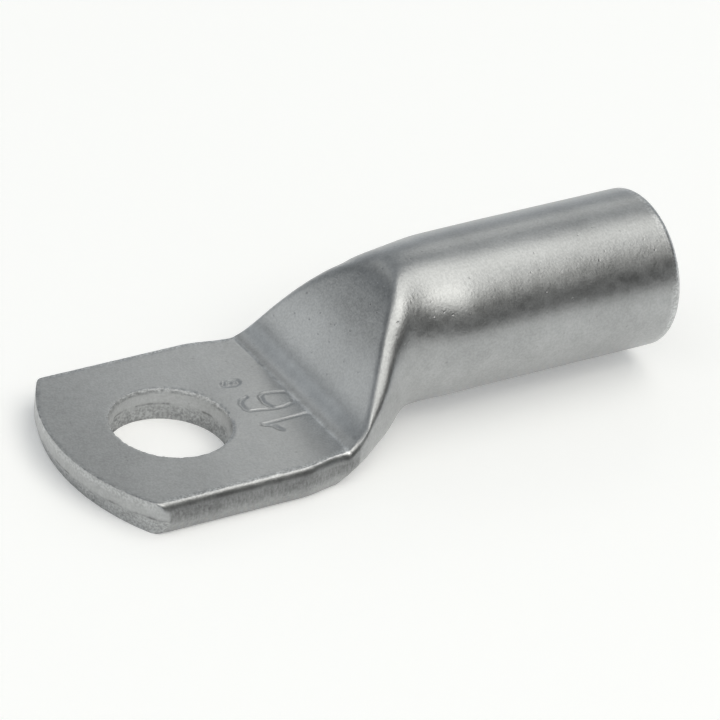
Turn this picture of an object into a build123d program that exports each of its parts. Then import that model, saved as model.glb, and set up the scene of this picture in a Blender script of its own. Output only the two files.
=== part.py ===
from build123d import *
import math
import os

# Ring terminal, millimetres.
# One length of steel tube: pressed flat at one end into a palm with a bolt hole, round and open at the other.
# The origin is on the bolt hole's axis at the palm's underside, +X runs towards the barrel's mouth, +Z is up.

# Tube and barrel
tube_diameter = 8.7
tube_wall = 1.0
barrel_rise = 0.53
mouth_reach = 29.08
mouth_rounding = 0.4
bore_rounding = 0.12

# Palm
palm_width = 13.4
palm_thickness = 1.92
palm_side_rounding = 0.45
seam_gap = 0.06
bolt_hole_diameter = 6.5
tip_reach = 6.58
tip_corner_reach = 4.1
tip_corner_rounding = 0.5
tip_setback = 0.45

# Neck, from the crease to where the barrel is round again
crease_reach = 7.3
draw_in_length = 3.0
underside_curl_length = 1.5
lead_in_length = 0.9
lead_in_angle = 31.0
ramp_angle = 62.0
crown_rounding = 0.8
neck_length = 13.7
underside_rise_length = 10.0
top_fold_sharpness = 1.07
underside_flat_share = 0.52
widest_level_drop = 0.09
waist_depth = 0.4
waist_reach = 13.0
waist_length = 3.1

tube_radius = tube_diameter / 2
bore_radius = tube_radius - tube_wall
barrel_height = barrel_rise + tube_radius
barrel_top = barrel_rise + tube_diameter
barrel_start = crease_reach + neck_length
palm_wall = (palm_thickness - seam_gap) / 2
seam_height = palm_thickness / 2
draw_in_start = crease_reach - draw_in_length
curl_start = crease_reach + lead_in_length - underside_curl_length
cut_margin = 2.0
side_margin = 0.05

# Where the sections stand, outside as shares of the neck beyond the lead-in, inside of the whole neck
neck_shares = (0, 0.12, 0.22, 0.3, 0.4, 0.55, 0.72, 1)
cavity_shares = (0, 0.035, 0.1, 0.126, 0.21, 0.29, 0.36, 0.44, 0.56, 0.73, 1)

# A section whose flat on top has a smaller half width than this is drawn as an oval
least_flat = 0.43

# The step over which a slope is measured, and the steepest normal in degrees that the wall is measured along
slope_step = 0.01
steepest_normal = 85

# Six arcs of a round or oval section: a narrow one at the crown and below, and two on each side
crown_half_turn = 6.0
crown_turn = 2 * crown_half_turn
side_turn = 90 - crown_half_turn
arc_sizes = (crown_turn, side_turn, side_turn) * 2
arc_starts = (side_turn, side_turn + crown_turn, 180, 180 + side_turn, 180 + side_turn + crown_turn, 0)


def ease(share):
    """A step from 0 to 1 that starts and ends level."""
    held = min(max(share, 0.0), 1.0)
    return held * held * (3 - 2 * held)


# The outside of the tube, as functions of the distance x along it


def top_height(x):
    """Palm, a short lead-in facet, then a hyperbola from the ramp's slope into the barrel's top line."""
    slope = math.tan(math.radians(ramp_angle))
    lead_in_slope = math.tan(math.radians(lead_in_angle))
    lead_in_end = crease_reach + lead_in_length
    if x <= crease_reach:
        return palm_thickness
    if x <= lead_in_end:
        return palm_thickness + (x - crease_reach) * lead_in_slope
    below_top = barrel_top - palm_thickness - lead_in_length * lead_in_slope
    ramp_meets_top = lead_in_end + (below_top - crown_rounding**2 / below_top) / slope
    past = (x - ramp_meets_top) * slope
    drop = math.sqrt(past * past / 4 + crown_rounding**2) - past / 2
    along_crown = min(max((x - ramp_meets_top) / (barrel_start - ramp_meets_top), 0.0), 1.0)
    return barrel_top - drop * (1 - along_crown**2) ** 2


def underside_height(x):
    return barrel_rise * ease((x - crease_reach) / underside_rise_length)


def flatness(x):
    """1 where the tube is pressed flat, 0 where it is round."""
    height = top_height(x) - underside_height(x)
    return min(max((tube_diameter - height) / (tube_diameter - palm_thickness), 0.0), 1.0)


def half_pressed(x):
    """1 where the tube is half way between round and flat, and 0 where it is either."""
    return 4 * flatness(x) * (1 - flatness(x))


def widest_height(x, top, bottom):
    """Where the section is widest: a little below its middle while the tube opens."""
    return bottom + (top - bottom) * (0.5 - widest_level_drop * half_pressed(x))


def pressed_half_width(height):
    """Half width of a tube pressed to a height between flats, with its girth kept."""
    return height / 2 + math.pi * (tube_diameter - height) / 4


def half_width(x):
    """The pressed width, squeezed out to the palm's and drawn in a little at the waist."""
    height = top_height(x) - underside_height(x)
    spread = palm_width / 2 - pressed_half_width(palm_thickness)
    waist = waist_depth * ease(1 - abs(x - waist_reach) / waist_length)
    return pressed_half_width(height) + spread * ease((crease_reach - x) / draw_in_length) - waist


def top_flat(x):
    """Half width of the flat on top: a sharp die presses it wider than a free fold would be."""
    free = half_width(x) - (top_height(x) - underside_height(x)) / 2
    sharp = top_fold_sharpness * half_pressed(x) + (seam_height - palm_side_rounding) * flatness(x) ** 3
    return min(free + sharp, half_width(x) - palm_side_rounding)


def underside_flat(x):
    """Half width of the flat below: full in the palm, quickly narrower once the tube opens."""
    palm_flat = half_width(x) - palm_side_rounding
    neck_flat = underside_flat_share * flatness(x) * half_width(x)
    curl = 1 - ease((x - curl_start) / underside_curl_length)
    return neck_flat + (palm_flat - neck_flat) * curl


# The inside of the tube: the outside moved in by the wall


def wall(x):
    return tube_wall + (palm_wall - tube_wall) * flatness(x)


def moved_in(outside, x):
    """The outside's curve moved in along its own normal: the lowest of the circles that hang from it."""
    turns = [math.radians(step) for step in range(-steepest_normal, steepest_normal + 1)]
    return min(outside(x + wall(x) * math.sin(turn)) - wall(x) * math.cos(turn) for turn in turns)


def inside_bottom(x):
    return underside_height(x) + wall(x)


def inside_top(x):
    return max(moved_in(top_height, x), inside_bottom(x) + seam_gap)


def inside_half_width(x):
    return moved_in(half_width, x)


def inside_flat(x, outside_flat):
    corner = max((inside_top(x) - inside_bottom(x)) / 4, seam_gap)
    return min(outside_flat(x), inside_half_width(x) - corner)


# Sections across the tube. Each is six arcs, over the top, down a side, under the bottom and up again,
# and each arc is held by three points: its start, the corner of its tangents, and the next arc's start.


def pressed_net(top, bottom, side, widest, top_half_flat, bottom_half_flat):
    """Two flats, joined on each side by two quarter ellipses that meet where the section is widest."""
    quarter = math.sqrt(0.5)
    ends = [(-top_half_flat, top), (top_half_flat, top), (side, widest)]
    ends += [(bottom_half_flat, bottom), (-bottom_half_flat, bottom), (-side, widest)]
    corners = [(0, top), (side, top), (side, bottom), (0, bottom), (-side, bottom), (-side, top)]
    return ends, corners, (1, quarter, quarter) * 2


def oval_net(top, bottom, side):
    """An ellipse, with short arcs over its crown and below in place of the flats."""
    middle = (top + bottom) / 2
    rise = (top - bottom) / 2
    crown = math.radians(crown_half_turn)
    flank = (math.pi / 2 - crown) / 2
    across = side * math.sin(crown)
    up = rise * math.cos(crown)
    tip = rise / math.cos(crown)
    out = rise * math.tan(flank)
    ends = [(-across, middle + up), (across, middle + up), (side, middle)]
    ends += [(across, middle - up), (-across, middle - up), (-side, middle)]
    corners = [(0, middle + tip), (side, middle + out), (side, middle - out)]
    corners += [(0, middle - tip), (-side, middle - out), (-side, middle + out)]
    return ends, corners, (math.cos(crown), math.cos(flank), math.cos(flank)) * 2


def outside_net(x, is_pressed):
    top, bottom, side = top_height(x), underside_height(x), half_width(x)
    if is_pressed:
        return pressed_net(top, bottom, side, widest_height(x, top, bottom), top_flat(x), underside_flat(x))
    return oval_net(top, bottom, side)


def inside_net(x, is_pressed):
    top, bottom, side = inside_top(x), inside_bottom(x), inside_half_width(x)
    if is_pressed:
        flats = inside_flat(x, top_flat), inside_flat(x, underside_flat)
        return pressed_net(top, bottom, side, widest_height(x, top, bottom), *flats)
    return oval_net(top, bottom, side)


def weighted(x, net):
    """A section's points in turn, multiplied by their weights, with the weight as the fourth number."""
    ends, corners, weights = net
    points = []
    for end, corner, weight in zip(ends, corners, weights):
        points.append((x, *end, 1.0))
        points.append(tuple(weight * value for value in (x, *corner, 1.0)))
    return points


def smooth_patches(net, start, end):
    """Six patches from one section to the next, which leave each section at the laws' own slopes."""
    pressed_start = top_flat(start) > least_flat
    pressed_end = top_flat(end) > least_flat
    first = weighted(start, net(start, pressed_start))
    past_first = weighted(start + slope_step, net(start + slope_step, pressed_start))
    before_last = weighted(end - slope_step, net(end - slope_step, pressed_end))
    last = weighted(end, net(end, pressed_end))
    reach = (end - start) / 3 / slope_step
    leaving = [[a + (b - a) * reach for a, b in zip(*pair)] for pair in zip(first, past_first)]
    arriving = [[b - (b - a) * reach for a, b in zip(*pair)] for pair in zip(before_last, last)]
    patches = []
    for arc in range(0, len(first), 2):
        turns = [(arc + step) % len(first) for step in range(3)]
        columns = [[row[turn] for row in (first, leaving, arriving, last)] for turn in turns]
        points = [[Vector(x / w, y / w, z / w) for x, y, z, w in column] for column in columns]
        weights = [[w for x, y, z, w in column] for column in columns]
        patches.append(Face.make_bezier_surface(points, weights))
    return patches


def smooth_skin(net, stations):
    return [patch for ends in zip(stations, stations[1:]) for patch in smooth_patches(net, *ends)]


def straight_skin(net, start, end):
    """The section at start, drawn straight back to end, with the end closed and the start left open."""
    ends, corners, weights = net
    arcs = []
    for turn in range(len(ends)):
        points = [ends[turn], corners[turn], ends[(turn + 1) % len(ends)]]
        arcs.append(Bezier(*[(start, *point) for point in points], weights=[1, weights[turn], 1]))
    run = Solid.extrude(Face(Wire(arcs)), Vector(end - start, 0, 0))
    return run.faces().sort_by(Axis.X)[:-1]


def barrel_skin(radius, end):
    """The true round tube from the neck, where it is left open, to its end."""
    station = Plane(origin=(barrel_start, 0, barrel_height), x_dir=(0, 1, 0), z_dir=(1, 0, 0))
    arcs = [CenterArc((0, 0), radius, start, arc_size=size) for start, size in zip(arc_starts, arc_sizes)]
    run = Solid.extrude(Face(Wire([station * arc for arc in arcs])), Vector(end - barrel_start, 0, 0))
    return run.faces().sort_by(Axis.X)[1:]


neck_reach = barrel_start - crease_reach - lead_in_length
neck_stations = [crease_reach + lead_in_length + share * neck_reach for share in neck_shares]
cavity_stations = [crease_reach + share * neck_length for share in cavity_shares]

outside = Solid(
    Shell(
        straight_skin(outside_net(draw_in_start, True), draw_in_start, -tip_reach - cut_margin)
        + smooth_skin(outside_net, [draw_in_start, curl_start, crease_reach] + neck_stations)
        + barrel_skin(tube_radius, mouth_reach)
    )
)

inside = Solid(
    Shell(
        straight_skin(inside_net(draw_in_start, True), draw_in_start, -tip_reach - cut_margin)
        + smooth_skin(inside_net, [draw_in_start, curl_start] + cavity_stations)
        + barrel_skin(bore_radius, mouth_reach + cut_margin)
    )
)

# The tip is sheared to an arc between two corners. The lower wall breaks away behind the upper one,
# most in the middle and not at all at the corners.
trim_half_width = palm_width / 2 + side_margin
trim_end = mouth_reach + cut_margin
trim_top = barrel_top + cut_margin


def tip_plan(apex):
    """The trim seen from above, with the tip's arc through its two corners and an apex."""
    near_corner = (-tip_corner_reach, -trim_half_width)
    far_corner = (-tip_corner_reach, trim_half_width)
    with BuildSketch() as plan:
        with BuildLine():
            Polyline(near_corner, (trim_end, -trim_half_width), (trim_end, trim_half_width), far_corner)
            ThreePointArc(far_corner, (-apex, 0), near_corner)
        make_face()
    return plan.sketch


# The setback grows evenly below the seam, and the lower outline lies as far below the underside as the seam
# is above it, so it is set back twice.
with BuildPart() as trim:
    with BuildSketch(Plane.XY.offset(seam_height)):
        add(tip_plan(tip_reach))
    extrude(amount=trim_top - seam_height)
    with BuildSketch(Plane.XY.offset(seam_height)):
        add(tip_plan(tip_reach))
    with BuildSketch(Plane.XY.offset(-seam_height)):
        add(tip_plan(tip_reach - 2 * tip_setback))
    loft(ruled=True)
    upright = trim.edges().filter_by(Axis.Z)
    fillet(upright.filter_by_position(Axis.X, -tip_corner_reach, -tip_corner_reach), tip_corner_rounding)

with BuildPart() as ring_terminal:
    add(outside)
    add(inside, mode=Mode.SUBTRACT)
    add(trim.part, mode=Mode.INTERSECT)
    with BuildSketch():
        Circle(bolt_hole_diameter / 2)
    extrude(amount=palm_thickness + cut_margin, both=True, mode=Mode.SUBTRACT)
    mouth = ring_terminal.faces().sort_by(Axis.X)[-1]
    fillet(mouth.outer_wire().edges(), mouth_rounding)
    fillet(ring_terminal.faces().sort_by(Axis.X)[-1].inner_wires().edges(), bore_rounding)

ring_terminal.part.label = "ring_terminal"
os.makedirs("parts", exist_ok=True)
export_step(ring_terminal.part, "parts/ring_terminal.step")
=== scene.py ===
import bmesh
import bpy
import math
import numpy as np
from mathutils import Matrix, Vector, noise


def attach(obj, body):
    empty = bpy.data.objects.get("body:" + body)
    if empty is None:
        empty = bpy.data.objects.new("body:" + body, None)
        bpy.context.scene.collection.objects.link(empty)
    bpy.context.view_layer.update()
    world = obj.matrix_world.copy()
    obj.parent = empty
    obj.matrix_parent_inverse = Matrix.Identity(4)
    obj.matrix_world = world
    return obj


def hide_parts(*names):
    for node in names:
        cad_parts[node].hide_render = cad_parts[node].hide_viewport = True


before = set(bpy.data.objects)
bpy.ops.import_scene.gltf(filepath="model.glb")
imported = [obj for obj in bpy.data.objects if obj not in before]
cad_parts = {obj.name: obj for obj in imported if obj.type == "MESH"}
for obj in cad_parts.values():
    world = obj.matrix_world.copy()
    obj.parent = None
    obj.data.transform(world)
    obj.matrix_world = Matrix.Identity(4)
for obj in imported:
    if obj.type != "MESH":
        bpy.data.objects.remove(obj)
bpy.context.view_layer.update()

# Sizes in millimetres, as in the part's source
MM = 0.001
tube_wall = 1.0
mouth_reach = 29.08
mouth_rounding = 0.4
bore_rounding = 0.12
palm_half = 6.7
palm_thickness = 1.92
side_rounding = 0.45
seam_gap = 0.06
hole_radius = 3.25
tip_corner_reach = 4.1
tip_corner_half = 6.75
tip_corner_rounding = 0.5
tip_setback = 0.45
crease = 7.3
draw_in_length = 3.0
curl_start = 6.7
underside_curl_length = 1.5
underside_rise_length = 10.0
underside_flat_share = 0.52
lead_in_end = 8.2
lead_in_slope = math.tan(math.radians(31.0))
ramp_slope = math.tan(math.radians(62.0))
crown_rounding = 0.8
barrel_start = 21.0
top_fold_sharpness = 1.07
widest_level_drop = 0.09
waist_depth = 0.4
waist_reach = 13.0
waist_length = 3.1
crown_half_turn = math.radians(6.0)

# A few micrometres under the part's own sizes, to stay inside the box of its facets
tube_radius = 4.349
barrel_rise = 0.529
tip_reach = 6.575

# The bend between the lead-in and the ramp, rounded over this height
bend_softness = 0.8

# Where the fold turns from the pressed section to the round one, and its least flat
round_start = 11.0
round_length = 1.6
least_flat = 0.3

# The near fold, on -Y: a flat with a straight side, then a break down to a full shoulder
near_flat_reach = 9.05
near_flat_half = 4.9
near_flat_taper = 1.175
near_flat_end = 0.5
near_widest_drop = 0.16
near_widest_reach = 10.6
near_widest_length = 3.4
near_round_start = 11.4
near_round_length = 3.0
near_break_angle = 45.0
near_break_start = 7.8
near_break_length = 1.2
near_break_end = 10.4
near_break_fade = 2.8
near_fullness = 0.3
near_early_fullness = 2.0
near_early_end = 9.0
near_early_fade = 2.4
near_easing_length = 1.0

middle = palm_thickness / 2
barrel_top = barrel_rise + 2 * tube_radius
barrel_height = barrel_rise + tube_radius
bore_radius = tube_radius - tube_wall
palm_wall = (palm_thickness - seam_gap) / 2

# The directions that the wall is measured along
wall_turns = np.radians(np.arange(-85, 86, 5))


def ease(share):
    held = np.clip(share, 0.0, 1.0)
    return held * held * (3 - 2 * held)


def onset(value, start, length):
    """0 up to the start, 1 from a length beyond it, and smooth between."""
    return ease((value - start) / length)


def swell(value, centre, reach):
    """1 at the centre, 0 from a reach away, and smooth between."""
    return ease(1 - np.abs(value - centre) / reach)


def bell(distance, width):
    return np.exp(-((distance / width) ** 2))


# Height and width along the lug. Only the bend's rounding and the near flat differ from the part's source


def top_height(x):
    x = np.asarray(x, float)
    below = barrel_top - palm_thickness - (lead_in_end - crease) * lead_in_slope
    meets = lead_in_end + (below - crown_rounding**2 / below) / ramp_slope
    past = (x - meets) * ramp_slope
    drop = np.sqrt(past * past / 4 + crown_rounding**2) - past / 2
    along = np.clip((x - meets) / (barrel_start - meets), 0.0, 1.0)
    crown = barrel_top - drop * (1 - along**2) ** 2
    lead_in = palm_thickness + np.maximum(x - crease, 0) * lead_in_slope
    apart = np.abs(x - lead_in_end) * (ramp_slope - lead_in_slope)
    fill = np.maximum(bend_softness - apart, 0) ** 2 / (4 * bend_softness)
    return np.where(x <= lead_in_end, lead_in, crown) + fill


def underside_height(x):
    return barrel_rise * onset(np.asarray(x, float), crease, underside_rise_length)


def height(x):
    return top_height(x) - underside_height(x)


def flatness(x):
    """1 where the tube is pressed flat, 0 where it is round."""
    return np.clip((2 * tube_radius - height(x)) / (2 * tube_radius - palm_thickness), 0.0, 1.0)


def half_pressed(x):
    """1 where the tube is half way between round and flat, and 0 where it is either."""
    return 4 * flatness(x) * (1 - flatness(x))


def pressed_half_width(pressed_height):
    """Half width of a tube pressed to a height between flats, with its girth kept."""
    return pressed_height / 2 + math.pi * (2 * tube_radius - pressed_height) / 4


def half_width(x):
    x = np.asarray(x, float)
    squeezed_out = (palm_half - pressed_half_width(palm_thickness)) * ease((crease - x) / draw_in_length)
    return pressed_half_width(height(x)) + squeezed_out - waist_depth * swell(x, waist_reach, waist_length)


def top_flat(x, near=False):
    """Half width of the flat on top. On the near side its edge is straight, from the crease to the crown."""
    if near:
        line = (near_flat_half - near_flat_taper * (x - near_flat_reach)) / 2
        flat = line + np.sqrt(line * line + near_flat_end**2)
    else:
        sharp = top_fold_sharpness * half_pressed(x) + (middle - side_rounding) * flatness(x) ** 3
        flat = half_width(x) - height(x) / 2 + sharp
    return np.minimum(flat, half_width(x) - side_rounding)


def underside_flat(x):
    full = half_width(x) - side_rounding
    neck = underside_flat_share * flatness(x) * half_width(x)
    return neck + (full - neck) * (1 - onset(x, curl_start, underside_curl_length))


def wall(x):
    return tube_wall + (palm_wall - tube_wall) * flatness(x)


def moved_in(outside, x):
    """The outside's curve moved in by the wall along its own normal."""
    return float(np.min(outside(x + wall(x) * np.sin(wall_turns)) - wall(x) * np.cos(wall_turns)))


# Half cross-sections on +Y: four arcs, each from its start over a weighted corner to the next start


def net(starts, corners, weights):
    weighted = [(y * weight, z * weight, weight) for (y, z), weight in zip(corners, weights)]
    return np.array([(y, z, 1) for y, z in starts]), np.array(weighted)


def pressed_net(top, bottom, side, widest, flats, drop, fullness):
    """Two flats and two rounded folds. The upper fold's corner is lowered by the drop, and filled out."""
    above, below = flats
    quarter = math.sqrt(0.5)
    starts = [(-above, top), (above, top), (side, widest), (below, bottom), (-below, bottom)]
    corners = [(0, top), (side, top - drop), (side, bottom), (0, bottom)]
    return net(starts, corners, (1, quarter + fullness, quarter, 1))


def oval_net(top, bottom, side):
    centre = (top + bottom) / 2
    rise = (top - bottom) / 2
    flank = (math.pi / 2 - crown_half_turn) / 2
    across = side * math.sin(crown_half_turn)
    up = rise * math.cos(crown_half_turn)
    peak = rise / math.cos(crown_half_turn)
    out = rise * math.tan(flank)
    starts = [(-across, centre + up), (across, centre + up), (side, centre)]
    starts += [(across, centre - up), (-across, centre - up)]
    corners = [(0, centre + peak), (side, centre + out), (side, centre - out), (0, centre - peak)]
    narrow = math.cos(crown_half_turn)
    broad = math.cos(flank)
    return net(starts, corners, (narrow, broad, broad, narrow))


def inside_sizes(x):
    bottom = float(underside_height(x) + wall(x))
    top = max(moved_in(top_height, x), bottom + seam_gap)
    side = moved_in(half_width, x)
    widest_flat = side - max((top - bottom) / 4, seam_gap)
    above = min(float(top_flat(x)), widest_flat)
    below = min(float(underside_flat(x)), widest_flat)
    return top, bottom, side, above, below


def outside_sizes(x, near):
    sizes = (top_height(x), underside_height(x), half_width(x), top_flat(x, near), underside_flat(x))
    return tuple(float(size) for size in sizes)


def near_fold(x, fold_width):
    """How far the near fold's corner lies below the flat, and how much fuller than round the fold is."""
    breaks = onset(x, near_break_start, near_break_length) * (1 - onset(x, near_break_end, near_break_fade))
    drop = fold_width * math.tan(math.radians(near_break_angle * breaks))
    early = 1 - onset(x, near_early_end, near_early_fade)
    return drop, near_fullness * breaks + near_early_fullness * breaks * early


def section_net(x, inside, near):
    top, bottom, side, above, below = inside_sizes(x) if inside else outside_sizes(x, near)
    oval = oval_net(top, bottom, side)
    if near:
        share = float(onset(x, near_round_start, near_round_length))
        low = near_widest_drop * float(swell(x, near_widest_reach, near_widest_length))
    else:
        share = float(onset(x, round_start, round_length))
        low = widest_level_drop * float(half_pressed(x))
    if share >= 1:
        return oval
    flats = max(above, least_flat), max(below, least_flat)
    drop, fullness = near_fold(x, side - flats[0]) if near else (0.0, 0.0)
    widest = bottom + (top - bottom) * (0.5 - low)
    pressed = pressed_net(top, bottom, side, widest, flats, drop, fullness)
    return tuple(p + (o - p) * share for p, o in zip(pressed, oval))


def half_outline(x, inside=False, near=False, steps=48):
    """Points from the middle of the top over one side to the middle of the bottom, written for +Y."""
    starts, corners = section_net(x, inside, near)
    t = np.linspace(0, 1, steps + 1)[:, None]
    arcs = []
    for start, corner, end in zip(starts, corners, starts[1:]):
        arc = (1 - t) ** 2 * start + 2 * t * (1 - t) * corner + t**2 * end
        arcs.append(arc[:, :2] / arc[:, 2:])
    arcs[0] = arcs[0][steps // 2:]
    arcs[3] = arcs[3][: steps // 2 + 1]
    return np.concatenate([arcs[0]] + [arc[1:] for arc in arcs[1:]])


# Points along a half outline: on the flat above, on the fold above and below its middle, on the flat below
flat_steps = 72
upper_steps = 12
lower_steps = 14
half_steps = flat_steps + upper_steps + lower_steps + flat_steps


def crease_half():
    """The half outline at the crease: even steps on the flats, even turns on the fold."""
    above = float(top_flat(crease))
    below = float(underside_flat(crease))
    side = float(half_width(crease))
    spots = [(above * i / flat_steps, palm_thickness) for i in range(flat_steps + 1)]
    for i in range(1, upper_steps + 1):
        turn = math.pi / 2 * (1 - i / upper_steps)
        spots.append((above + (side - above) * math.cos(turn), middle + middle * math.sin(turn)))
    for i in range(1, lower_steps + 1):
        turn = -math.pi / 2 * i / lower_steps
        spots.append((below + (side - below) * math.cos(turn), middle + middle * math.sin(turn)))
    spots += [(below * (1 - i / flat_steps), 0) for i in range(1, flat_steps + 1)]
    return np.array(spots)


def run_along(line):
    """The length of a line up to each of its points."""
    return np.concatenate([[0], np.cumsum(np.hypot(*np.diff(line, axis=0).T))])


crease_line = crease_half()
crease_shares = run_along(crease_line) / run_along(crease_line)[-1]
even_shares = np.linspace(0, 1, half_steps + 1)
even_length = 2.6


def spread(line, x):
    """An outline's points moved along it, to stand evenly where the tube is round."""
    run = run_along(line)
    shares = crease_shares + (even_shares - crease_shares) * float(onset(x, crease, even_length))
    return np.stack([np.interp(shares * run[-1], run, line[:, i]) for i in (0, 1)], 1)


def eased(line, reach=6):
    """An outline with its corners rounded: each point is the mean of its neighbours."""
    window = np.hanning(2 * reach + 3)[1:-1]
    padded = np.pad(line, ((reach, reach), (0, 0)), "reflect", reflect_type="odd")
    return np.stack([np.convolve(padded[:, i], window / window.sum(), "valid") for i in (0, 1)], 1)


def ring(x, inside=False):
    """One closed ring of points, from the middle of the top round by +Y."""
    if not inside and x <= crease:
        far = near = crease_line
    else:
        far = spread(half_outline(x, inside), x)
        near = spread(half_outline(x, inside, near=not inside), x)
        near = near + (eased(near) - near) * float(onset(x, crease, near_easing_length))
    both = np.concatenate([far, near[-2:0:-1] * (-1, 1)])
    return np.column_stack([np.full(len(both), x), both])


def round_ring(x, radius):
    turn = np.linspace(0, 2 * math.pi, 2 * half_steps, endpoint=False)
    across = radius * np.sin(turn)
    up = barrel_height + radius * np.cos(turn)
    return np.column_stack([np.full(len(turn), x), across, up])


class Mesh:
    """Quads gathered from grids."""

    def __init__(self):
        self.points = []
        self.quads = []
        self.count = 0

    def grid(self, rows, closed=True, flip=False):
        width = len(rows[0])
        here = np.arange(width if closed else width - 1)
        there = (here + 1) % width
        for i in range(len(rows) - 1):
            a = self.count + i * width
            b = a + width
            quads = np.stack([a + here, a + there, b + there, b + here], 1)
            self.quads.append(quads[:, ::-1] if flip else quads)
        self.points += rows
        self.count += width * len(rows)


# Plan of the palm at a level: the side, the corner's rounding and the tip's arc


def side_at(x, z):
    """Half width of the palm's edge at a distance along it and a level."""
    flat = np.where(z >= middle, top_flat(x), underside_flat(x))
    lift = np.sqrt(np.clip(1 - ((z - middle) / middle) ** 2, 0, 1))
    return flat + (half_width(x) - flat) * lift


def plan_point(column, z):
    """Columns 0 to 1 run along the side from the crease, 1 to 2 round the corner, 2 to 3 along the tip."""
    apex = tip_reach - tip_setback * max(middle - z, 0) / middle
    sag = apex - tip_corner_reach
    arc = (tip_corner_half**2 + sag**2) / (2 * sag)
    centre = arc - apex
    side = float(side_at(0.0, z))
    bend = tip_corner_rounding
    corner_x = centre - math.sqrt((arc - bend) ** 2 - (side - bend) ** 2)
    if column <= 1:
        x = crease + (corner_x - crease) * column
        return x, float(side_at(x, z))
    turn_end = math.atan2(side - bend, centre - corner_x)
    if column <= 2:
        turn = math.pi / 2 + (turn_end - math.pi / 2) * (column - 1)
        return corner_x - bend * math.cos(turn), side - bend + bend * math.sin(turn)
    turn = turn_end * (3 - column)
    return centre - arc * math.cos(turn), arc * math.sin(turn)


# Columns of points along the palm's edge, and their levels: on a rounded side, and on the tip's cut face
cut_from = 1.3
cut_length = 0.9
side_columns = np.linspace(0, 1, 57)
corner_columns = np.linspace(1, 2, 9)[1:]
tip_columns = np.linspace(2, 3, 61)[1:]
columns = np.concatenate([side_columns, corner_columns, tip_columns])
seam_levels = (middle + 0.01, middle - 0.01)
above_seam = middle + 0.02
below_seam = middle - 0.02
side_levels = [middle + middle * math.cos(math.pi / 2 * i / upper_steps) for i in range(upper_steps)]
side_levels += [middle - middle * math.sin(math.pi / 2 * i / lower_steps) for i in range(lower_steps + 1)]
tip_levels = [palm_thickness, palm_thickness - 0.015]
tip_levels += list(np.linspace(palm_thickness - 0.05, above_seam, upper_steps - 2))
tip_levels += [*seam_levels, *np.linspace(below_seam, 0, lower_steps - 1)]


def edge_profile(column):
    """The points down the palm's edge at a column, on the +Y side."""
    cut_share = float(onset(column, cut_from, cut_length))
    levels = [side + (tip - side) * cut_share for side, tip in zip(side_levels, tip_levels)]
    return np.array([(*plan_point(column, level), level) for level in levels])


def crease_across(half_line, z):
    """The crease at a level, from the near side to the far one."""
    far = [(crease, y, z) for y, _ in half_line]
    return np.array([(x, -y, z) for x, y, z in far[:0:-1]] + far)


edge = np.array([edge_profile(column) for column in columns])
edge = np.concatenate([edge, edge[::-1][1:] * (1, -1, 1)])
crease_above = crease_across(crease_line[: flat_steps + 1], palm_thickness)
crease_below = crease_across(crease_line[-flat_steps - 1:][::-1], 0.0)
rim_above = np.concatenate([crease_above, edge[1:-1, 0]])
rim_below = np.concatenate([crease_below, edge[1:-1, -1]])
angles = np.arctan2(rim_above[:, 1], rim_above[:, 0])
hole_rim = np.column_stack([hole_radius * np.cos(angles), hole_radius * np.sin(angles)])

# Stamped on the palm, read from the near side: the plain number 16 and a small plain 6
ONE = [[(4.45, -1.98), (7.44, -1.96)], [(4.41, -2.05), (4.86, -2.28), (5.1, -2.84)]]
SIX = [
    [(5.1, -0.74), (4.44, -0.62), (4.29, -0.36), (4.33, 0.14), (4.56, 0.46), (4.91, 0.57)],
    [(5.1, -0.74), (5.8, -0.93), (6.42, -0.93), (7.0, -0.8), (7.33, -0.42)],
    [(7.33, -0.42), (7.3, 0.21), (6.63, 0.44), (5.95, 0.56), (5.65, 0.37), (5.53, -0.25), (5.8, -0.93)],
]
six_foot = 4.29
small_size = 0.3
small_place = (4.4, 2.1)
stamp_depth = 0.045
stamp_floor = 0.03
stamp_slope = 0.14


def small(line):
    """A line of the 6, made smaller and moved to the small number's place."""
    along, across = small_place
    return [(along + (x - six_foot) * small_size, across + y * small_size) for x, y in line]


strokes = ONE + SIX + [small(line) for line in SIX]


def nearest(spots, line):
    """Distance in plan from each spot to the nearest point of a line."""
    line = np.asarray(line)
    best = np.full(len(spots), 99.0)
    for a, b in zip(line, line[1:]):
        t = np.clip(((spots - a) @ (b - a)) / max((b - a) @ (b - a), 1e-9), 0, 1)
        best = np.minimum(best, np.hypot(*(spots - a - t[:, None] * (b - a)).T))
    return best


def palm_face(rim, level, rows, stamped):
    """Rings from the hole's rim out to the palm's."""
    rings = []
    for share in np.linspace(0, 1, rows):
        plan = hole_rim + (rim[:, :2] - hole_rim) * share
        z = np.full(len(plan), level)
        if stamped and share < 1:
            away = np.min([nearest(plan, line) for line in strokes], axis=0)
            z = z - stamp_depth * (1 - onset(away, stamp_floor, stamp_slope))
        rings.append(np.column_stack([plan, z]))
    return rings


def rounded(steps):
    """The sine and cosine of even turns up to a right angle."""
    return [(math.sin(turn), math.cos(turn)) for turn in np.linspace(0, math.pi / 2, steps + 1)[1:]]


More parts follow.
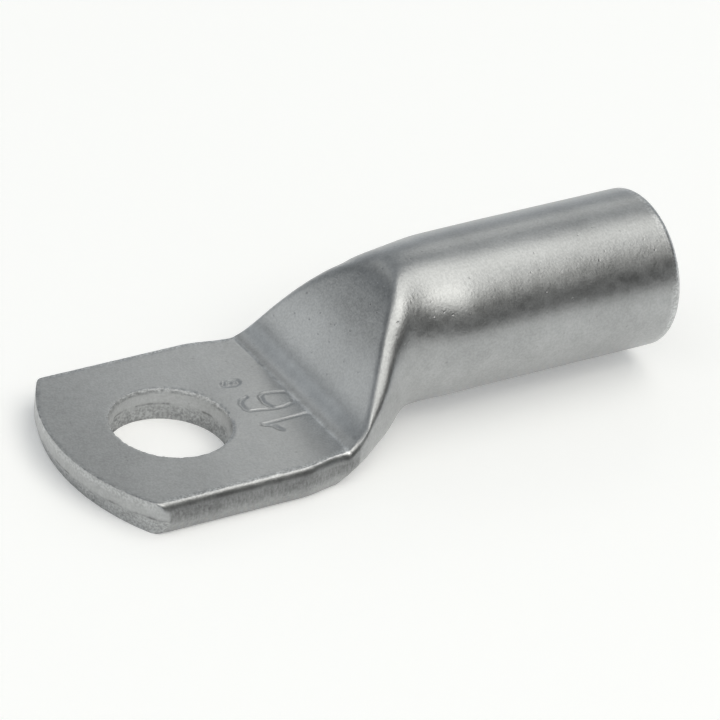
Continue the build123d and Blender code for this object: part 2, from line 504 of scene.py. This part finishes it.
# The lug's skin: the neck and barrel outside, the mouth, the bore and cavity, then the palm
fine_end = 13.0
fine_step = 0.1
cavity_start = 20.0
cavity_end = 7.5
mesh = Mesh()
rings = [ring(x) for x in np.arange(crease, fine_end, fine_step)]
rings += [ring(x) for x in np.linspace(fine_end, mouth_reach - mouth_rounding, 44)]
for sine, cosine in rounded(8):
    shoulder = tube_radius - mouth_rounding * (1 - cosine)
    rings.append(round_ring(mouth_reach - mouth_rounding * (1 - sine), shoulder))
mesh.grid(rings)
mouth = [
    round_ring(mouth_reach, radius)
    for radius in np.linspace(tube_radius - mouth_rounding, bore_radius + bore_rounding, 4)
]
for sine, cosine in rounded(4):
    lip = bore_radius + bore_rounding * (1 - sine)
    mouth.append(round_ring(mouth_reach - bore_rounding * (1 - cosine), lip))
mesh.grid(mouth)
bore = [round_ring(x, bore_radius) for x in np.linspace(mouth_reach - bore_rounding, barrel_start, 5)]
bore += [ring(x, inside=True) for x in [*np.linspace(cavity_start, lead_in_end, 24), 7.9, 7.6]]
mesh.grid(bore)
mesh.grid([bore[-1], np.repeat([[cavity_end, 0, middle]], 2 * half_steps, axis=0)])
mesh.grid(palm_face(rim_above, palm_thickness, 45, stamped=True))
mesh.grid(palm_face(rim_below, 0.0, 13, stamped=False), flip=True)
hole_levels = [*np.linspace(palm_thickness, above_seam, 13), *seam_levels, *np.linspace(below_seam, 0, 13)]
mesh.grid([np.column_stack([hole_rim, np.full(len(hole_rim), z)]) for z in hole_levels], flip=True)
mesh.grid(list(np.swapaxes(edge, 0, 1)), closed=False)

data = bpy.data.meshes.new("lug")
data.from_pydata((np.concatenate(mesh.points) * MM).tolist(), [], np.concatenate(mesh.quads).tolist())
weld = 2e-6
least_edge = 1e-7
bm = bmesh.new()
bm.from_mesh(data)
bmesh.ops.remove_doubles(bm, verts=bm.verts, dist=weld)
bmesh.ops.dissolve_degenerate(bm, dist=least_edge, edges=bm.edges)
bmesh.ops.recalc_face_normals(bm, faces=bm.faces)
bm.normal_update()
spots = np.array([vertex.co for vertex in bm.verts]) / MM
normals = np.array([vertex.normal for vertex in bm.verts])

# Regions of the skin. The distance to the palm's edge is measured in plan, the radius from the hole's axis
palm_margin = 0.6
face_margin = 0.01
palm_top_from = 1.8
bend_from = 1.5
x, y, z = spots.T
radius = np.hypot(x, y)
on_palm = x < crease + palm_margin
on_top = z > palm_top_from
on_bend = z > bend_from
palm_outline = np.concatenate([rim_above[len(crease_above) - 1:, :2], rim_above[:1, :2]])
rim = np.full(len(spots), 99.0)
rim[on_palm] = nearest(spots[on_palm, :2], palm_outline)
between_faces = (z > face_margin) & (z < palm_thickness - face_margin)
tip_zone = (x < -tip_corner_reach + 0.3) & (rim < 0.7)
in_hole = (np.abs(radius - hole_radius) < 0.12) & between_faces
cut_face = in_hole | (tip_zone & between_faces)
side = (np.abs(normals[:, 2]) < 0.75) & on_palm & (rim < 0.8) & ~(tip_zone & between_faces) & ~in_hole
torn = cut_face * (1 - onset(z, middle - 0.28, 0.3))
rim_burr = bell(rim, 0.13) * onset(z, 1.35, 0.3) * on_palm * np.where(tip_zone, 0.45, 1.0)
hole_burr = bell(radius - hole_radius, 0.08) * onset(z, 1.6, 0.2) * on_palm


def hills(at, scale, shift=0.0):
    """Smooth noise about zero, with hills of the given number per millimetre."""
    return np.array([noise.noise(Vector(spot) * scale + Vector((shift, 0, 0))) for spot in at])


def worn_away(share, least, depth, *waves, stretch=(1, 1, 1)):
    """Depths in millimetres where the share is over the least: one for all, and waves of noise about it."""
    away = np.zeros(len(spots))
    chosen = np.flatnonzero(share > least)
    rough = sum(most * hills(spots[chosen] * stretch, scale, shift) for most, scale, shift in waves)
    away[chosen] = share[chosen] * (depth + rough)
    return away


# The torn half of the cut faces, the burrs, and the drawn sides, with streaks that run down them
inward = worn_away(torn, 0.01, 0.04, (0.08, 2.2, 0.0), (0.03, 6.0, 9.0))
inward += worn_away(rim_burr + hole_burr, 0.02, 0.02, (0.04, 5.0, 3.0))
inward += worn_away(side, 0, 0.006, (0.01, 4.0, 5.0), stretch=(1, 1, 0.25))
for vertex, depth, normal in zip(bm.verts, np.maximum(inward, 0.0), normals):
    if depth:
        vertex.co -= Vector(normal) * float(depth) * MM
bm.to_mesh(data)
bm.free()

# Marks on the skin and places of painted light and shade, as shares at each point, that the steel's colour
# and relief follow
tumbled_neck = 0.75 * onset(x, 8.0, 3.0) + 1.2 * swell(x, 11.5, 3.8)
# Where painted light goes: the lead-in's far part, and the palm by the crease
lead_out_painted_light = onset(x, crease + 0.2, 0.3) * (1 - onset(x, lead_in_end, 0.2))
pressed = onset(x, crease - 1.4, 1.3) * (x < crease + 0.02)
marks_and_painted_light = {
    # The burred edge ridges, where a painted highlight goes
    "burr_and_edge_highlight": np.maximum(rim_burr, 0.8 * hole_burr),
    "torn": torn,
    "seam": bell(z - middle, 0.06) * cut_face,
    "cut": cut_face * onset(z, middle, 0.25),
    # Where painted shade lies on the palm's sides
    "side": side * (0.3 + 0.7 * onset(z, 0.5, 0.6) - 0.6 * onset(z, 1.35, 0.3)),
    "tumble": 0.25 + tumbled_neck - 0.5 * onset(x, 28.3, 0.4),
    "mouth": onset(x, 28.4, 0.3),
    # Where a painted highlight runs along the crease
    "crease": bell(x - crease, 0.1) * on_bend,
    # Where painted shade lies on the band just past the crease
    "lead_in": onset(x, crease, 0.08) * (1 - onset(x, crease + 0.2, 0.3)) * on_bend,
    # Painted light on the lead-in's far part and the palm by the crease, painted shade on the ramp, and
    # painted shade at the tip that turns to painted light by the crease
    "lead_out_painted_light": lead_out_painted_light * on_bend * onset(y, -5.5, 3.0),
    "rise": onset(x, 9.2, 1.4) * onset(-normals[:, 0], 0.35, 0.35),
    "reach": np.clip(x / 6, -1, 1) * (x < crease) * on_top,
    "pressed": pressed * (1 - onset(y, -1.0, 2.0)) * on_top,
}
for name, shares in marks_and_painted_light.items():
    layer = data.attributes.new(name, "FLOAT", "POINT")
    layer.data.foreach_set("value", shares.astype(np.float32))
data.shade_smooth()
data.set_sharp_from_angle(angle=math.radians(40))
lug = bpy.data.objects.new("lug", data)
bpy.context.scene.collection.objects.link(lug)
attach(lug, "root")
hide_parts("ring_terminal")

# Satin steel, tumbled after pressing: fine grain, short wrinkles across the tube and pits, with painted
# highlights on the burred edges and along the crease, and lighter at the mouth's end
steel = bpy.data.materials.new("satin_steel")
steel.use_nodes = True
nodes = steel.node_tree.nodes
links = steel.node_tree.links
shader = nodes["Principled BSDF"]
shader.inputs["Metallic"].default_value = 1.0
data.materials.append(steel)


def put(target, value):
    if isinstance(value, bpy.types.NodeSocket):
        links.new(value, target)
    else:
        target.default_value = value


def combined(operation, first, others):
    for other in others:
        step = nodes.new("ShaderNodeMath")
        step.operation = operation
        put(step.inputs[0], first)
        put(step.inputs[1], other)
        first = step.outputs[0]
    return first


def product(first, *others):
    return combined("MULTIPLY", first, others)


def total(first, *others):
    return combined("ADD", first, others)


def span(value, low, high, to_low, to_high):
    """A value between two limits, mapped smoothly to another range."""
    step = nodes.new("ShaderNodeMapRange")
    step.interpolation_type = "SMOOTHSTEP"
    for socket, number in zip(step.inputs, (value, low, high, to_low, to_high)):
        put(socket, number)
    return step.outputs[0]


def mark(name):
    step = nodes.new("ShaderNodeAttribute")
    step.attribute_name = name
    return step.outputs["Fac"]


def scaled(vector, scale):
    step = nodes.new("ShaderNodeVectorMath")
    step.operation = "SCALE"
    put(step.inputs[0], vector)
    put(step.inputs["Scale"], scale)
    return step.outputs[0]


def grain(stretch, scale, detail):
    """Noise in millimetres, about 0.5, stretched along the axes."""
    place = nodes.new("ShaderNodeVectorMath")
    place.operation = "MULTIPLY"
    put(place.inputs[0], millimetres)
    put(place.inputs[1], stretch)
    step = nodes.new("ShaderNodeTexNoise")
    put(step.inputs["Vector"], place.outputs[0])
    put(step.inputs["Scale"], scale)
    put(step.inputs["Detail"], detail)
    return step.outputs["Fac"]


def pits():
    """Round pits, 1 in their middle, at some of the cells of a pattern."""
    cells = nodes.new("ShaderNodeTexVoronoi")
    put(cells.inputs["Vector"], millimetres)
    put(cells.inputs["Scale"], 1.9)
    cell_colour = nodes.new("ShaderNodeSeparateColor")
    put(cell_colour.inputs[0], cells.outputs["Color"])
    round_pit = span(cells.outputs["Distance"], 0.05, 0.16, 1.0, 0.0)
    return product(round_pit, span(cell_colour.outputs[0], 0.55, 0.6, 0.0, 1.0))


millimetres = scaled(nodes.new("ShaderNodeTexCoord").outputs["Object"], 1 / MM)
fine = grain((1, 1, 1), 8.0, 2.0)
mottle = grain((1, 1, 1), 1.5, 3.0)
cloud = grain((1, 1, 1), 0.22, 1.0)
wrinkle = grain((2.0, 1, 1), 3.2, 2.0)
drawn = grain((2.2, 2.2, 0.4), 4.0, 2.0)
pit = pits()

# Tone: clouds, mottling and grain, then what each mark adds to it or takes from it. Some of these marks are
# painted highlights and painted shade
tone = total(
    span(cloud, 0.3, 0.7, 0.93, 1.04),
    span(mottle, 0.25, 0.75, -0.06, 0.06),
    span(fine, 0.3, 0.7, -0.07, 0.07),
    product(pit, -0.16),
)
mark_and_painted_light_tones = {
    "seam": span(mottle, 0.35, 0.6, -0.45, -0.05),
    "torn": span(fine, 0.35, 0.65, -0.08, 0.2),
    # Painted shade on the palm's sides, streaked along their drawing
    "side": span(drawn, 0.35, 0.65, -0.5, -0.36),
    "cut": 0.03,
    # Painted shade on the band just past the crease
    "lead_in": span(drawn, 0.3, 0.7, -0.12, -0.02),
    "mouth": span(fine, 0.4, 0.6, 0.1, 0.4),
    # A painted highlight on the burred edge ridges
    "burr_and_edge_highlight": span(fine, 0.4, 0.6, 0.0, 0.385),
    # A painted highlight along the crease
    "crease": span(mottle, 0.35, 0.65, 0.05, 0.4),
}

# These four are painted light and shade, no wear: painted shade on the ramp and the tip, painted light on
# the bend and the palm before it
shade_tones = {
    "lead_out_painted_light": 0.36,
    "rise": -0.26,
    "reach": 0.1,
    "pressed": span(drawn, 0.3, 0.7, 0.15, 0.45),
}
for name, change in (mark_and_painted_light_tones | shade_tones).items():
    tone = total(tone, product(mark(name), change))
put(shader.inputs["Base Color"], scaled((0.418, 0.425, 0.427), tone))
roughness = total(span(mottle, 0.3, 0.7, 0.33, 0.38), product(mark("torn"), 0.2))
put(shader.inputs["Roughness"], roughness)

# Relief, in millimetres
relief = total(
    product(fine, 0.006),
    product(wrinkle, mark("tumble"), 0.0055),
    product(mottle, 0.0012),
    product(pit, mark("tumble"), -0.008),
    product(fine, mark("torn"), 0.04),
)
bump = nodes.new("ShaderNodeBump")
put(bump.inputs["Distance"], MM)
put(bump.inputs["Height"], relief)
put(shader.inputs["Normal"], bump.outputs[0])


def matt(name, colour, roughness):
    material = bpy.data.materials.new(name)
    material.use_nodes = True
    inputs = material.node_tree.nodes["Principled BSDF"].inputs
    inputs["Base Color"].default_value = colour
    inputs["Roughness"].default_value = roughness
    return material


def rectangle(name, width, height, material):
    across = width / 2
    up = height / 2
    sheet = bpy.data.meshes.new(name)
    corners = [(-across, -up, 0), (across, -up, 0), (across, up, 0), (-across, up, 0)]
    sheet.from_pydata(corners, [], [(0, 1, 2, 3)])
    sheet.materials.append(material)
    return bpy.data.objects.new(name, sheet)


# Floor, of white paper with a little light of its own
paper = matt("paper", (0.9, 0.9, 0.89, 1), 0.9)
glow = paper.node_tree.nodes["Principled BSDF"].inputs
glow["Emission Color"].default_value = (1.0, 1.0, 1.0, 1)
glow["Emission Strength"].default_value = 0.2
floor = rectangle("floor", 4, 4, paper)
bpy.context.scene.collection.objects.link(floor)

# Camera
camera_data = bpy.data.cameras.new("camera")
camera_data.lens = 279.55
camera_data.sensor_width = 36
camera_data.clip_start = 0.01
camera_data.clip_end = 10
camera = bpy.data.objects.new("camera", camera_data)
camera.location = (-0.134986, -0.203510, 0.160925)
camera.rotation_euler = [math.radians(turn) for turn in (57.5807, -6.2504, -31.7981)]
bpy.context.scene.collection.objects.link(camera)
bpy.context.scene.camera = camera

# Lamps and cards stand round the lug at an azimuth and an elevation, and face it
lug_middle = Vector((0.011, 0.0, 0.004))
lamp_distance = 1.0
card_distance = 0.5
lamp_power = 4
lamp_colour = (1.0, 0.975, 0.91)


def stand(obj, azimuth, elevation, distance):
    turn = math.radians(azimuth)
    tilt = math.radians(elevation)
    way = Vector((math.cos(turn) * math.cos(tilt), math.sin(turn) * math.cos(tilt), math.sin(tilt)))
    obj.location = lug_middle + way * distance
    obj.rotation_euler = way.to_track_quat("Z", "Y").to_euler()
    bpy.context.scene.collection.objects.link(obj)


def softbox(name, azimuth, elevation, width, height, brightness):
    lamp = bpy.data.lights.new(name, "AREA")
    lamp.shape = "RECTANGLE"
    lamp.size = width
    lamp.size_y = height
    lamp.energy = lamp_power * width * height * brightness
    lamp.color = lamp_colour
    stand(bpy.data.objects.new(name, lamp), azimuth, elevation, lamp_distance)


def card(name, azimuth, elevation, width, height, grey):
    """A card that the steel reflects. The camera doesn't see it, and it throws no shadow."""
    obj = rectangle(name, width, height, matt(name, (grey, grey, grey, 1), 1.0))
    obj.visible_camera = False
    obj.visible_diffuse = False
    obj.visible_shadow = False
    stand(obj, azimuth, elevation, card_distance)


softbox("overhead", -33, 70, 1.1, 0.6, 1.2)
softbox("strip", -86, 49, 1.12, 0.48, 1.25)
softbox("left", -150, 55, 0.7, 0.4, 0.5)
softbox("back", 52, 32, 0.22, 0.22, 1.0)
softbox("far", 105, 40, 0.4, 0.3, 0.35)
softbox("low_far", 140, 6, 0.4, 0.22, 0.5)
card("low_card", -70, 15, 0.6, 0.35, 0.03)
card("side_card", -31, 30, 0.36, 0.3, 0.05)

# Sky: bright at the horizon, darker above
sky = bpy.data.worlds.new("studio")
bpy.context.scene.world = sky
sky.use_nodes = True
sky_nodes = sky.node_tree.nodes
sky_links = sky.node_tree.links
direction = sky_nodes.new("ShaderNodeTexCoord")
parts = sky_nodes.new("ShaderNodeSeparateXYZ")
strength = sky_nodes.new("ShaderNodeMapRange")
strength.interpolation_type = "SMOOTHSTEP"
for socket, value in (("From Min", 0.0), ("From Max", 0.3), ("To Min", 0.85), ("To Max", 0.41)):
    strength.inputs[socket].default_value = value
sky_links.new(direction.outputs["Generated"], parts.inputs["Vector"])
sky_links.new(parts.outputs["Z"], strength.inputs["Value"])
sky_links.new(strength.outputs["Result"], sky_nodes["Background"].inputs["Strength"])
sky_nodes["Background"].inputs["Color"].default_value = (0.93, 0.98, 1.02, 1)
bpy.context.scene.view_settings.view_transform = "Standard"
